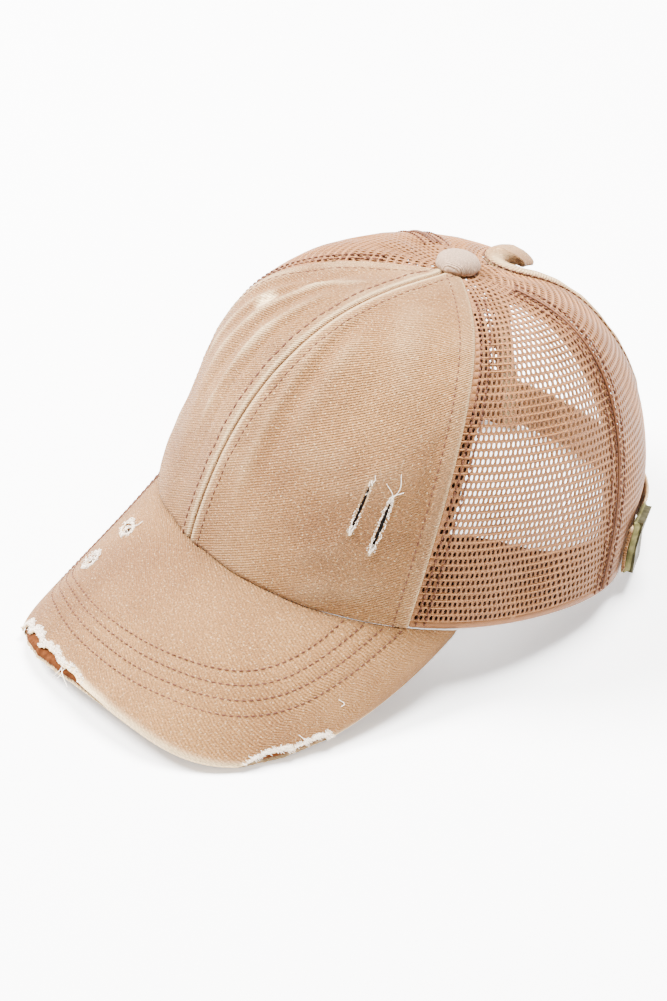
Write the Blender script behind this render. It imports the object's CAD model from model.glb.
import bpy
import math
import numpy as np
from mathutils import Matrix, Vector


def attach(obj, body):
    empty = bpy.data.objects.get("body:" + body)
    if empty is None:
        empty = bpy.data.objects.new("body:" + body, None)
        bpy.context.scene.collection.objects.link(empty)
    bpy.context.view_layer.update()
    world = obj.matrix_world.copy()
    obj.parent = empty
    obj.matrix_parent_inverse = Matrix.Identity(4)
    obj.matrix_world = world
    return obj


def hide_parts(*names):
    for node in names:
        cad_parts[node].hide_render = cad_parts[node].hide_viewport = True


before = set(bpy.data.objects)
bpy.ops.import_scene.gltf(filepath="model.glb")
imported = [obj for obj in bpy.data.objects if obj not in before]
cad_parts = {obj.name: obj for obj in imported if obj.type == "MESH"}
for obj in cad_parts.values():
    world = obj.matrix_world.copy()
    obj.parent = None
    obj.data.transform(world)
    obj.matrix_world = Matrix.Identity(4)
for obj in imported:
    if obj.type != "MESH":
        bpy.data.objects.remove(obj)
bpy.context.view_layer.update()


# ---- Front panels -------------------------------------------------------------------------------
# Two panels of washed cotton twill make the forehead. They are sewn edge to edge over a tape, top
# stitched on both sides of the seam, and two worn slits are cut in the wearer's left one.
# Crown sizes are millimetres and degrees, in the cap's own frame with its rim level at z = 0.
crown_half_width, crown_half_length, crown_height = 91.0, 96.0, 103.6
rim_squareness, top_setback = 2.15, 6.9
front_reach, side_reach, back_reach = 3.73, 3.56, 2.88
front_rise, side_rise, back_rise = 2.05, 2.05, 2.24
cloth_wall, net_wall = 1.6, 1.2
# Each hollow: angle, spread of angle, share of height, spread of that share, depth
crown_hollows = [
    (-40, 15, 0.45, 0.24, 2.6),
    (-17, 6, 0.3, 0.26, 1.6),
    (-32, 20, 0.95, 0.09, 2.2),
    (22, 14, 0.66, 0.16, 1.4),
    (80, 13, 0.34, 0.2, 1.8),
    (-86, 14, 0.4, 0.22, 1.8),
    (158, 16, 0.8, 0.14, 1.2),
    (-36, 22, 0.03, 0.17, -2.6),
    (127, 13, 0.08, 0.15, 4.4),
]
# Each seam: its angle at the rim and at the button, from the front toward the wearer's left
seam_front = (-8.0, 7.0)
seam_front_side_left = (53.5, 66.0)
seam_side_back_left = (105.6, 115.5)
seam_front_side_right = (-61.5, -42.0)
seam_side_back_right = (-110.0, -114.0)

rest_turn = Matrix.Rotation(math.radians(-10.90615), 3, "X") @ Matrix.Rotation(math.radians(-0.55887), 3, "Y")
rest_place = np.array([0.016, 31.6187, 17.2378])


def placed(points):
    """Cap frame in millimetres to the part's frame in metres."""
    turned = np.asarray(points, float) @ np.array(rest_turn).T
    return (turned + rest_place) / 1000


def around(angle, front, side, back):
    facing = np.cos(np.radians(angle))
    ahead, behind = np.clip(facing, 0, 1) ** 2, np.clip(-facing, 0, 1) ** 2
    return front * ahead + back * behind + side * (1 - ahead - behind)


def signed_power(value, power):
    return np.sign(value) * np.abs(value) ** power


def plain_crown(angle, rise):
    angle, rise = np.broadcast_arrays(np.asarray(angle, float), np.asarray(rise, float))
    turn, climb = np.radians(angle), np.minimum(rise, 1 - 1e-7) * np.pi / 2
    across = crown_half_width * signed_power(np.sin(turn), 2 / rim_squareness)
    along = -crown_half_length * signed_power(np.cos(turn), 2 / rim_squareness)
    spread = np.cos(climb) ** (2 / around(angle, front_reach, side_reach, back_reach))
    height = crown_height * np.sin(climb) ** (2 / around(angle, front_rise, side_rise, back_rise))
    return np.stack([across * spread, top_setback + (along - top_setback) * spread, height], -1)


def unit(vectors):
    return vectors / np.maximum(np.linalg.norm(vectors, axis=-1, keepdims=True), 1e-12)


def crown_normal(angle, rise):
    angle, rise = np.broadcast_arrays(np.asarray(angle, float), np.asarray(rise, float))
    step = np.minimum(0.004, (1 - rise) * 0.4)
    up = plain_crown(angle, rise + step) - plain_crown(angle, np.maximum(rise - step, 0))
    round_it = plain_crown(angle + 0.6, rise) - plain_crown(angle - 0.6, rise)
    return unit(np.cross(round_it, up))


def crown_at(angle, rise, offset=0.0):
    point = plain_crown(angle, rise)
    depth = np.zeros(point.shape[:-1])
    for at, spread, height, span, deep in crown_hollows:
        turn, lift = (angle - at) / spread, (point[..., 2] / crown_height - height) / span
        depth = depth + deep * np.exp(-turn * turn - lift * lift)
    return point + crown_normal(angle, rise) * (np.asarray(offset, float) - depth)[..., None]


def rise_at_height(angle, height):
    share = np.clip(np.asarray(height, float) / crown_height, 0, 1)
    return np.arcsin(share ** (around(angle, front_rise, side_rise, back_rise) / 2)) / (np.pi / 2)


def radius_at(angle, rise):
    point = plain_crown(angle, rise)
    return np.hypot(point[..., 0], point[..., 1] - top_setback)


def rise_at_radius(angle, radius):
    low, high = 0.0, 1 - 1e-7
    for _ in range(40):
        middle = (low + high) / 2
        low, high = (middle, high) if radius_at(angle, middle) > radius else (low, middle)
    return low


def seam_angle(seam, rise):
    return seam[0] + (seam[1] - seam[0]) * np.asarray(rise, float)


def laid_flat(grid):
    """How far across from the middle column, and how far up that column, each point of a grid lies."""
    steps = np.linalg.norm(np.diff(grid, axis=1), axis=2)
    across = np.concatenate([np.zeros((len(grid), 1)), np.cumsum(steps, axis=1)], axis=1)
    middle = grid.shape[1] // 2
    climbs = np.linalg.norm(np.diff(grid[:, middle], axis=0), axis=1)
    up = np.concatenate([[0], np.cumsum(climbs)])[:, None] * np.ones((1, grid.shape[1]))
    return across - across[:, middle : middle + 1], up


def object_of(name, points, faces, uv=None, worn=None):
    """A new object from points in metres, with a flat pattern map in centimetres and its wear."""
    mesh = bpy.data.meshes.new(name)
    mesh.from_pydata(np.asarray(points).tolist(), [], faces)
    mesh.shade_smooth()
    if uv is not None:
        layer = mesh.uv_layers.new(name="cloth")
        corner = np.empty(len(mesh.loops), int)
        mesh.loops.foreach_get("vertex_index", corner)
        layer.data.foreach_set("uv", np.asarray(uv)[corner].ravel())
    if worn is not None:
        mesh.attributes.new("worn", "FLOAT", "POINT").data.foreach_set("value",
            np.asarray(worn, float).ravel())
    made = bpy.data.objects.new(name, mesh)
    bpy.context.scene.collection.objects.link(made)
    return made


def volume_of(points, faces):
    total = 0.0
    for face in faces:
        a = points[face[0]]
        for second, third in zip(face[1:], face[2:]):
            total += float(np.dot(a, np.cross(points[second], points[third])))
    return total


def walled(name, outer, inner, worn=None):
    """A closed wall between an outer and an inner grid of cap frame points."""
    rows, columns = outer.shape[:2]
    count = rows * columns
    index = np.arange(count).reshape(rows, columns)
    a, b, c, d = index[:-1, :-1], index[:-1, 1:], index[1:, 1:], index[1:, :-1]
    front = np.stack([a, b, c, d], -1).reshape(-1, 4)
    back = np.stack([a, d, c, b], -1).reshape(-1, 4) + count
    low, high, near, far = index[0], index[-1], index[:, 0], index[:, -1]
    foot = np.stack([low[:-1], low[:-1] + count, low[1:] + count, low[1:]], -1)
    head = np.stack([high[:-1], high[1:], high[1:] + count, high[:-1] + count], -1)
    start = np.stack([near[:-1], near[1:], near[1:] + count, near[:-1] + count], -1)
    end = np.stack([far[:-1], far[:-1] + count, far[1:] + count, far[1:]], -1)
    faces = np.concatenate([front, back, foot, head, start, end])
    points = placed(np.concatenate([outer.reshape(-1, 3), inner.reshape(-1, 3)]))
    corners = points[faces]
    halves = np.cross(corners[:, 1], corners[:, 2]) + np.cross(corners[:, 2], corners[:, 3])
    if np.einsum("ij,ij->", corners[:, 0], halves) < 0:
        faces = faces[:, ::-1]
    across, up = laid_flat(outer)
    flat = np.stack([across, up], -1).reshape(-1, 2) / 10
    wear = None if worn is None else np.concatenate([worn.ravel(), worn.ravel() * 0.4])
    return object_of(name, points, faces.tolist(), np.concatenate([flat, flat]), wear)


def soft_folds(across, up, seed, height):
    """Gentle unevenness of washed cloth, in millimetres."""
    chance = np.random.default_rng(seed)
    lift = np.zeros(across.shape)
    for wave in (46, 31, 19, 12):
        for _ in range(3):
            heading, start = chance.uniform(0, np.pi), chance.uniform(0, 2 * np.pi)
            bend = 0.6 * np.sin((across * np.sin(heading) - up * np.cos(heading)) / (wave * 0.6) + start)
            lift += wave / 46 * np.sin((across * np.cos(heading) + up * np.sin(heading)) / wave * 2
                * np.pi + bend + start)
    return height * lift / 3


def crease(grid, start, end, width, depth):
    """A long soft ridge, or a groove where depth is negative, between two places on the crown."""
    share = np.linspace(0, 1, 30)
    line = crown_at(start[0] + (end[0] - start[0]) * share, start[1] + (end[1] - start[1]) * share)
    away = np.linalg.norm(grid[:, :, None, :] - line[None, None], axis=3)
    near = away.argmin(axis=2)
    taper = np.sin(np.pi * np.clip(share[near] * 0.96 + 0.02, 0, 1)) ** 0.7
    return depth * taper * np.exp(-((away.min(axis=2) / width) ** 2))


def node_of(tree, kind, inputs=None, **settings):
    node = tree.nodes.new(kind)
    for key, value in settings.items():
        setattr(node, key, value)
    for key, value in (inputs or {}).items():
        if isinstance(value, bpy.types.NodeSocket):
            tree.links.new(value, node.inputs[key])
        else:
            node.inputs[key].default_value = value
    return node


def blank_finish(name, roughness, sheen=0.0):
    finish = bpy.data.materials.new(name)
    finish.use_nodes = True
    shader = finish.node_tree.nodes["Principled BSDF"]
    shader.inputs["Roughness"].default_value = roughness
    shader.inputs["Sheen Weight"].default_value = sheen
    shader.inputs["Sheen Roughness"].default_value = 0.5
    shader.inputs["Specular IOR Level"].default_value = 0.25
    return finish, finish.node_tree, shader


def stepped(tree, value, stops):
    ramp = node_of(tree, "ShaderNodeValToRGB", {"Fac": value})
    while len(ramp.color_ramp.elements) < len(stops):
        ramp.color_ramp.elements.new(0.5)
    for element, (place, colour) in zip(ramp.color_ramp.elements, stops):
        element.position, element.color = place, (*colour, 1)
    return ramp.outputs["Color"]


def mixed(tree, share, first, second, blend="MIX"):
    node = node_of(tree, "ShaderNodeMix", data_type="RGBA", blend_type=blend)
    for socket, value in ((node.inputs[0], share), (node.inputs[6], first), (node.inputs[7], second)):
        if isinstance(value, bpy.types.NodeSocket):
            tree.links.new(value, socket)
        else:
            socket.default_value = value if isinstance(value, float) else (*value, 1)
    return node.outputs[2]


def washed_twill(name, deep, faded, pale, lines=3.1):
    """Cotton twill: slanting ribs, pale flecks, washed out patches, and edges rubbed pale."""
    finish, tree, shader = blank_finish(name, 0.88, 0.04)
    flat = node_of(tree, "ShaderNodeUVMap", uv_map="cloth").outputs["UV"]
    solid = node_of(tree, "ShaderNodeTexCoord").outputs["Object"]
    slant = node_of(tree, "ShaderNodeMapping", {"Vector": flat, "Rotation": (0, 0, 1.05)})
    ribs = node_of(tree, "ShaderNodeTexWave",
        {"Vector": slant.outputs["Vector"], "Scale": lines, "Distortion": 2.4,
        "Detail": 3.0, "Detail Scale": 4.0}).outputs["Fac"]
    patch = node_of(tree, "ShaderNodeTexNoise",
        {"Vector": solid, "Scale": 22.0, "Detail": 4.0}).outputs["Fac"]
    grain = node_of(tree, "ShaderNodeTexNoise",
        {"Vector": flat, "Scale": 13.0, "Detail": 4.0, "Roughness": 0.8}).outputs["Fac"]
    fleck = node_of(tree, "ShaderNodeTexNoise",
        {"Vector": flat, "Scale": 11.0, "Detail": 3.0, "Roughness": 0.7}).outputs["Fac"]
    colour = stepped(tree, patch, [(0.35, deep), (0.68, faded)])
    colour = mixed(tree, stepped(tree, ribs, [(0.25, (0.5,) * 3), (0.8, (0.0,) * 3)]), colour, deep)
    colour = mixed(tree, 0.85, colour, stepped(tree, grain, [(0.4, (0.27,) * 3), (0.62, (1.0,) * 3)]),
        "MULTIPLY")
    colour = mixed(tree, stepped(tree, fleck, [(0.57, (0.0,) * 3), (0.7, (0.5,) * 3)]), colour, pale)
    rubbed = node_of(tree, "ShaderNodeAttribute", attribute_name="worn").outputs["Fac"]
    broken = node_of(tree, "ShaderNodeMath", {0: rubbed, 1: grain}, operation="MULTIPLY").outputs[0]
    broken = node_of(tree, "ShaderNodeMath", {0: broken, 1: 1.9}, operation="MULTIPLY",
        use_clamp=True).outputs[0]
    tree.links.new(mixed(tree, broken, colour, pale), shader.inputs["Base Color"])
    height = node_of(tree, "ShaderNodeMath", {0: ribs, 1: grain}, operation="ADD").outputs[0]
    bump = node_of(tree, "ShaderNodeBump", {"Height": height, "Strength": 0.8, "Distance": 0.0006})
    tree.links.new(bump.outputs["Normal"], shader.inputs["Normal"])
    return finish


tan_twill = washed_twill("washed_tan_twill", (0.235, 0.096, 0.025), (0.39, 0.182, 0.054), (0.80, 0.59, 0.32))


def panel_grid(left, right, rows, columns):
    """Angles and rises of a crown panel between two edges, from the rim to the button."""
    share = np.linspace(0, 1, rows)[:, None]
    top = rise_at_radius((float(left(1.0)) + float(right(1.0))) / 2, 3.0)
    rise = top * (1 - (1 - share) ** 1.5) * np.ones((1, columns))
    gap = np.degrees(0.1 / np.maximum(radius_at(left(rise), rise), 1))
    start, end = left(rise) + gap, right(rise) - gap
    return start + (end - start) * np.linspace(0, 1, columns)[None, :], rise


def cloth_piece(piece, finish, slot, *nodes):
    piece.data.materials.append(finish)
    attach(piece, "root")
    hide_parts(*nodes)
    return piece


# Each crease: where it starts and ends, as angle and rise, then width and height
left_creases = [
    ((3, 0.12), (9, 0.86), 2.2, 0.8),
    ((8, 0.2), (13, 0.8), 3.2, -0.9),
    ((13, 0.35), (18, 0.78), 4.0, 0.7),
    ((24, 0.42), (33, 0.72), 7.0, -0.8),
    ((40, 0.55), (30, 0.9), 6.0, 0.6),
    ((48, 0.08), (55, 0.5), 3.0, -0.6),
    ((47, 0.42), (33, 0.3), 4.0, 0.45),
    ((20, 0.03), (44, 0.06), 4.0, 0.5),
]
right_creases = [
    ((-15, 0.1), (-7, 0.8), 2.0, -1.0),
    ((-19, 0.2), (-11, 0.78), 2.0, 1.1),
    ((-24, 0.25), (-16, 0.84), 2.2, -1.1),
    ((-29, 0.3), (-20, 0.88), 2.4, 1.1),
    ((-34, 0.4), (-25, 0.9), 2.6, -1.0),
    ((-40, 0.3), (-29, 0.86), 3.0, 0.9),
    ((-46, 0.5), (-24, 0.92), 3.5, -0.8),
    ((-52, 0.3), (-40, 0.8), 4.0, 0.7),
    ((-30, 0.72), (-6, 0.92), 2.2, 0.8),
]
slit_places = [((38.0, 0.34), (35.5, 0.205), 2.0), ((44.0, 0.31), (41.3, 0.17), 2.2)]


def front_panel(name, left, right, creases, seed, seam_on_left):
    angle, rise = panel_grid(left, right, 150, 110)
    plain = crown_at(angle, rise)
    across, up = laid_flat(plain)
    from_left, from_right = across - across[:, :1], across[:, -1:] - across
    seam_side, net_side = (from_left, from_right) if seam_on_left else (from_right, from_left)
    relief = soft_folds(across, up, seed, 0.35)
    for start, end, width, depth in creases:
        relief += crease(plain, start, end, width, depth)
    gather = np.random.default_rng(seed + 5).uniform(0, 6, 3)
    ripple = np.sin(up / 2.3 + gather[0]) + 0.7 * np.sin(up / 3.7 + gather[1])
    relief *= np.clip(np.minimum(seam_side, net_side) / 8, 0.15, 1)
    relief += 0.12 * ripple * np.exp(-(((seam_side - 5.6) / 2.4) ** 2))
    relief += 0.1 * ripple * np.exp(-(((net_side - 6.2) / 2.4) ** 2))
    relief += 0.45 / (1 + np.exp((seam_side - 6.6) * 2.2)) + 0.5 / (1 + np.exp((net_side - 7.0) * 2.0))
    relief -= 0.3 * np.exp(-(((seam_side - 5.4) / 0.8) ** 2)) + 0.3 * np.exp(-(((net_side - 5.9) / 0.8) ** 2))
    relief -= 0.8 * np.exp(-((seam_side / 0.8) ** 2)) + 0.5 * np.exp(-((net_side / 0.6) ** 2))
    worn = 0.35 * np.exp(-(net_side / 0.8) ** 2) + 0.4 * np.exp(-(((seam_side - 1.4) / 0.8) ** 2))
    worn += 0.1 * np.clip(relief, 0, 1) + (0.0 if seam_on_left else 0.3) * np.clip(relief - 0.35, 0, 1)
    for start, end, wide in slit_places if seam_on_left else []:
        ends = crown_at(*start), crown_at(*end)
        share = np.clip(((plain - ends[0]) @ (ends[1] - ends[0]))
            / ((ends[1] - ends[0]) @ (ends[1] - ends[0])), 0, 1)
        away = np.linalg.norm(plain - ends[0] - share[..., None] * (ends[1] - ends[0]), axis=-1)
        worn += 0.45 * np.exp(-((away / 1.0) ** 4))
    if not seam_on_left:
        dab = np.hypot((angle + 29.5) * 1.25, (rise - 0.63) * 130)
        worn += 1.3 * np.exp(-((dab / 4.5) ** 4)) * (0.6 + 0.4 * np.sin(across * 2.1) * np.sin(up * 1.7))
    outer = crown_at(angle, rise, relief)
    return walled(name, outer, crown_at(angle, rise, relief - cloth_wall), worn), outer


def cut_with(piece, cutters):
    """Cuts closed shapes out of a closed piece, and leaves a plain mesh."""
    for cutter in cutters:
        carve = piece.modifiers.new("cut", "BOOLEAN")
        carve.operation, carve.solver, carve.object = "DIFFERENCE", "EXACT", cutter
    bpy.context.view_layer.update()
    result = bpy.data.meshes.new_from_object(piece.evaluated_get(bpy.context.evaluated_depsgraph_get()))
    piece.modifiers.clear()
    piece.data = result
    for cutter in cutters:
        bpy.data.objects.remove(cutter)


def ragged_cutter(name, centre, along, across, outward, half_long, half_wide, deep, seed, count=34):
    """A prism with an uneven pointed outline, set square to the cloth. Cap frame, millimetres."""
    chance = np.random.default_rng(seed)
    turn = np.linspace(0, 2 * np.pi, count, endpoint=False)
    rough = 1 + chance.uniform(-0.16, 0.16, count)
    x = half_wide * signed_power(np.sin(turn), 1.25) * rough
    y = half_long * signed_power(np.cos(turn), 0.9) * (1 + chance.uniform(-0.03, 0.03, count))
    flat = centre + x[:, None] * across + y[:, None] * along
    points = placed(np.concatenate([flat - outward * deep, flat + outward * deep]))
    sides = [[k, (k + 1) % count, (k + 1) % count + count, k + count] for k in range(count)]
    faces = [list(range(count))[::-1], list(range(count, 2 * count))] + sides
    if volume_of(points - points.mean(0), faces) < 0:
        faces = [face[::-1] for face in faces]
    return object_of(name, points, faces)


def slit_frame(start, end):
    a, b = crown_at(*start), crown_at(*end)
    outward = crown_normal((start[0] + end[0]) / 2, (start[1] + end[1]) / 2)
    along = unit(b - a)
    across = unit(np.cross(along, outward))
    return (a + b) / 2, along, across, np.cross(across, along), np.linalg.norm(b - a) / 2


left_panel, left_face = front_panel("front_panel_left_cloth", lambda r: seam_angle(seam_front, r),
    lambda r: seam_angle(seam_front_side_left, r), left_creases, 11, True)
slit_cutters = []
for count, (start, end, wide) in enumerate(slit_places):
    centre, along, across, outward, half_long = slit_frame(start, end)
    slit_cutters.append(ragged_cutter(f"slit_{count}", centre, along, across, outward, half_long,
        wide * 0.3, 5, 40 + count))
cut_with(left_panel, slit_cutters)
cloth_piece(left_panel, tan_twill, "washed_cloth", "front_panel_left")

# A dark stiffening cloth is ironed on behind, and shows black in the slits.
angle = np.linspace(30, 50, 30)[None, :] * np.ones((40, 1))
rise = np.linspace(0.12, 0.4, 40)[:, None] * np.ones((1, 30))
backing = walled("slit_backing_cloth", crown_at(angle, rise, -cloth_wall - 0.12),
    crown_at(angle, rise, -cloth_wall - 0.4))
black_cloth, tree, shader = blank_finish("black_backing", 0.95)
thread = node_of(tree, "ShaderNodeTexNoise",
    {"Vector": node_of(tree, "ShaderNodeTexCoord").outputs["Object"], "Scale": 900.0})
tree.links.new(stepped(tree, thread.outputs["Fac"],
    [(0.3, (0.006, 0.005, 0.005)), (0.7, (0.03, 0.022, 0.018))]), shader.inputs["Base Color"])
backing.data.materials.append(black_cloth)
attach(backing, "root")

right_panel, right_face = front_panel("front_panel_right_cloth",
    lambda r: seam_angle(seam_front_side_right, r),
    lambda r: seam_angle(seam_front, r), right_creases, 23, False)
cloth_piece(right_panel, tan_twill, "washed_cloth", "front_panel_right")


# ---- Net panels ---------------------------------------------------------------------------------
# Four panels of knitted net close the sides and back. Its rounded holes stand in rows round the
# head, each row half a hole along from the next. A side panel is made as a lower and an upper part.
hole_pitch, row_pitch = 1.98, 2.92
hole_share = 0.66
yarn_thick = 0.62
opening_half_width, opening_top = 44.0, 0.945
opening_rises = [0, 0.11, 0.22, 0.33, 0.43, 0.52, 0.6, 0.67, 0.735, 0.795, 0.85, 0.9, 0.94, 0.97, 0.99, 1]
opening_halves = [0.86, 0.93, 0.98, 1, 0.965, 0.885, 0.78, 0.67, 0.565, 0.475, 0.4, 0.335, 0.275, 0.2,
    0.115, 0]


def opening_angle(rise):
    """The angle at which the crown is as far from the middle as the opening's edge."""
    rise = np.asarray(rise, float)
    half = opening_half_width * np.interp(rise / opening_top, opening_rises, opening_halves)
    low, high = np.full(rise.shape, 100.0), np.full(rise.shape, 180.0)
    for _ in range(32):
        middle = (low + high) / 2
        wide = plain_crown(middle, rise)[..., 0] > half
        low, high = np.where(wide, middle, low), np.where(wide, high, middle)
    return np.where(rise >= opening_top, 180.0, low)


def yarn_finish(name, deep, light):
    """Knitted polyester: fine slanting strands with a soft gloss on top."""
    finish, tree, shader = blank_finish(name, 0.6, 0.1)
    flat = node_of(tree, "ShaderNodeUVMap", uv_map="cloth").outputs["UV"]
    solid = node_of(tree, "ShaderNodeTexCoord").outputs["Object"]
    strand = node_of(tree, "ShaderNodeTexWave",
        {"Vector": flat, "Scale": 9.0, "Distortion": 3.0, "Detail": 1.0},
        bands_direction="DIAGONAL").outputs["Fac"]
    patch = node_of(tree, "ShaderNodeTexNoise",
        {"Vector": solid, "Scale": 60.0, "Detail": 3.0}).outputs["Fac"]
    colour = stepped(tree, strand, [(0.2, deep), (0.85, light)])
    colour = mixed(tree, 0.35, colour, stepped(tree, patch, [(0.35, (0.7,) * 3), (0.65, (1.0,) * 3)]),
        "MULTIPLY")
    tree.links.new(colour, shader.inputs["Base Color"])
    bump = node_of(tree, "ShaderNodeBump", {"Height": strand, "Strength": 0.5, "Distance": 0.0002})
    tree.links.new(bump.outputs["Normal"], shader.inputs["Normal"])
    return finish


net_yarn = yarn_finish("tan_net_yarn", (0.11, 0.034, 0.006), (0.26, 0.102, 0.022))


def new_tree(name, inputs):
    """A node tree that takes a geometry and the named numbers, and gives a geometry."""
    tree = bpy.data.node_groups.new(name, "GeometryNodeTree")
    tree.interface.new_socket("Geometry", in_out="INPUT", socket_type="NodeSocketGeometry")
    for label, value in inputs.items():
        tree.interface.new_socket(label, in_out="INPUT", socket_type="NodeSocketFloat").default_value = value
    tree.interface.new_socket("Geometry", in_out="OUTPUT", socket_type="NodeSocketGeometry")
    return tree, tree.nodes.new("NodeGroupInput"), tree.nodes.new("NodeGroupOutput")


def finish_tree(tree, source, leaving, material):
    real = node_of(tree, "GeometryNodeRealizeInstances", {"Geometry": source})
    smooth = node_of(tree, "GeometryNodeSetShadeSmooth", {"Geometry": real.outputs["Geometry"]})
    dressed = node_of(tree, "GeometryNodeSetMaterial",
        {"Geometry": smooth.outputs["Geometry"], "Material": material})
    tree.links.new(dressed.outputs["Geometry"], leaving.inputs["Geometry"])


def grown(piece, tree, values):
    """Runs a node tree on a piece and keeps the plain mesh that it gives."""
    grow = piece.modifiers.new("grow", "NODES")
    grow.node_group = tree
    for socket in tree.interface.items_tree:
        if socket.item_type == "SOCKET" and socket.in_out == "INPUT" and socket.name in values:
            grow[socket.identifier] = values[socket.name]
    bpy.context.view_layer.update()
    result = bpy.data.meshes.new_from_object(piece.evaluated_get(bpy.context.evaluated_depsgraph_get()))
    piece.modifiers.clear()
    piece.data = result
    return piece


net_tree, entering, leaving = new_tree("pierced_net", {"Hole share": hole_share, "Yarn": 0.0006})
open_cell = node_of(net_tree, "GeometryNodeInputNamedAttribute", {"Name": "open"},
    data_type="BOOLEAN").outputs["Attribute"]
cells = node_of(net_tree, "GeometryNodeExtrudeMesh",
    {"Mesh": entering.outputs["Geometry"], "Selection": open_cell,
    "Offset Scale": 0.0, "Individual": True}, mode="FACES")
shrunk = node_of(net_tree, "GeometryNodeScaleElements",
    {"Geometry": cells.outputs["Mesh"], "Selection": cells.outputs["Top"],
    "Scale": entering.outputs["Hole share"]})
pierced = node_of(net_tree, "GeometryNodeDeleteGeometry", {"Geometry": shrunk.outputs["Geometry"],
    "Selection": cells.outputs["Top"]}, domain="FACE")
rounded = node_of(net_tree, "GeometryNodeSubdivisionSurface",
    {"Mesh": pierced.outputs["Geometry"], "Level": 1})
raised = node_of(net_tree, "GeometryNodeExtrudeMesh", {"Mesh": rounded.outputs["Mesh"],
    "Offset Scale": entering.outputs["Yarn"], "Individual": False}, mode="FACES")
under = node_of(net_tree, "GeometryNodeFlipFaces", {"Mesh": rounded.outputs["Mesh"]})
both = node_of(net_tree, "GeometryNodeJoinGeometry")
net_tree.links.new(raised.outputs["Mesh"], both.inputs["Geometry"])
net_tree.links.new(under.outputs["Mesh"], both.inputs["Geometry"])
joined = node_of(net_tree, "GeometryNodeMergeByDistance",
    {"Geometry": both.outputs["Geometry"], "Distance": 0.000005})
finish_tree(net_tree, joined.outputs["Geometry"], leaving, net_yarn)


def row_rises(left, right):
    """The rise of every row of holes, evenly spaced up the panel's middle, from the rim to the button."""
    rises = np.linspace(0, 1, 1200)
    middle = plain_crown((left(rises) + right(rises)) / 2, rises)
    length = np.concatenate([[0], np.cumsum(np.linalg.norm(np.diff(middle, axis=0), axis=1))])
    reach = np.interp(4.2, np.hypot(middle[:, 0], middle[:, 1] - top_setback)[::-1], length[::-1])
    levels = int(reach // row_pitch)
    return np.interp(np.arange(levels + 1) * reach / levels, length, rises)


def net_panel(name, left, right, seed, low, high, *nodes):
    """Lays rows of six sided cells round the crown, cut off at the panel's edges. The rows run
    from one share of the panel's length to another."""
    rises = row_rises(left, right)
    starts, ends = left(rises), right(rises)
    middles = (starts + ends) / 2
    steps = np.degrees(hole_pitch / np.maximum(radius_at(middles, rises), 4))
    keys, corners, faces, whole = {}, [], [], []
    rows = len(rises) - 1
    for row in range(round(low * rows), round(high * rows)):
        reach = int((ends[row] - starts[row]) / steps[row] / 2) + 3
        for cell in range(-reach, reach + 1):
            outline = []
            for place, level in ((-0.5, 0), (0, 0), (0.5, 0), (0.5, 1), (0, 1), (-0.5, 1)):
                outline.append((middles[row + level] + (cell + 0.5 * (row % 2) + place) * steps[row],
                    row + level))
            clipped = [(min(max(turn, starts[level]), ends[level]), level) for turn, level in outline]
            if max(turn for turn, _ in clipped) - min(turn for turn, _ in clipped) < steps[row] * 0.12:
                continue
            loop = []
            for turn, level in clipped:
                key = (round(float(turn), 3), level)
                if key not in keys:
                    keys[key] = len(corners)
                    corners.append((turn, level))
                if keys[key] not in loop:
                    loop.append(keys[key])
            if len(loop) > 2:
                faces.append(loop)
                whole.append(row > 0 and all(abs(c[0] - o[0]) < 1e-6 for c, o in zip(clipped, outline)))
    angles, levels = np.array(corners)[:, 0], np.array(corners)[:, 1]
    lifts = rises[levels.astype(int)]
    sway = 0.3 * np.sin(angles / 4.1 + seed) * np.sin(levels / 3.3)
    points = crown_at(angles, lifts, sway - net_wall * 0.5 - yarn_thick / 2)
    across = np.radians(angles - middles[0]) * radius_at(angles, lifts)
    panel = object_of(name, placed(points), faces, np.stack([across / 10, levels * row_pitch / 10], -1))
    panel.data.attributes.new("open", "BOOLEAN", "FACE").data.foreach_set("value", whole)
    grown(panel, net_tree, {"Hole share": hole_share, "Yarn": yarn_thick / 1000})
    return ridden(panel, "mesh", *nodes)


def ridden(piece, slot, *nodes):
    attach(piece, "root")
    if nodes:
        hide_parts(*nodes)
    return piece


net_edges = {
    "side_net_left": (lambda r: seam_angle(seam_front_side_left, r),
    lambda r: seam_angle(seam_side_back_left, r)),
    "side_net_right": (lambda r: seam_angle(seam_side_back_right, r),
    lambda r: seam_angle(seam_front_side_right, r)),
    "back_net_left": (lambda r: seam_angle(seam_side_back_left, r), lambda r: opening_angle(r)),
    "back_net_right": (lambda r: -opening_angle(r), lambda r: seam_angle(seam_side_back_right, r)),
}
side_split = 0.42
# Each piece: its panel, seed, the share of the panel's rows it has, cut width and length, cut area
for name, panel, seed, low, high, flat, area in [
    ("side_net_left_lower", "left", 3, 0, side_split, (0.098, 0.058), 0.0052),
    ("side_net_left_upper", "left", 3, side_split, 1, (0.092, 0.078), 0.0043),
    ("side_net_right_lower", "right", 4, 0, side_split, (0.098, 0.058), 0.0052),
    ("side_net_right_upper", "right", 4, side_split, 1, (0.092, 0.078), 0.0043),
    ("back_net_left", "left", 5, 0, 1, (0.085, 0.125), 0.0072),
    ("back_net_right", "right", 6, 0, 1, (0.085, 0.125), 0.0072),
]:
    place = f"{name.split('_')[0]}_net_{panel}"
    net = net_panel(name, *net_edges[place], seed, low, high, place.replace("net", "mesh"))


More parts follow.
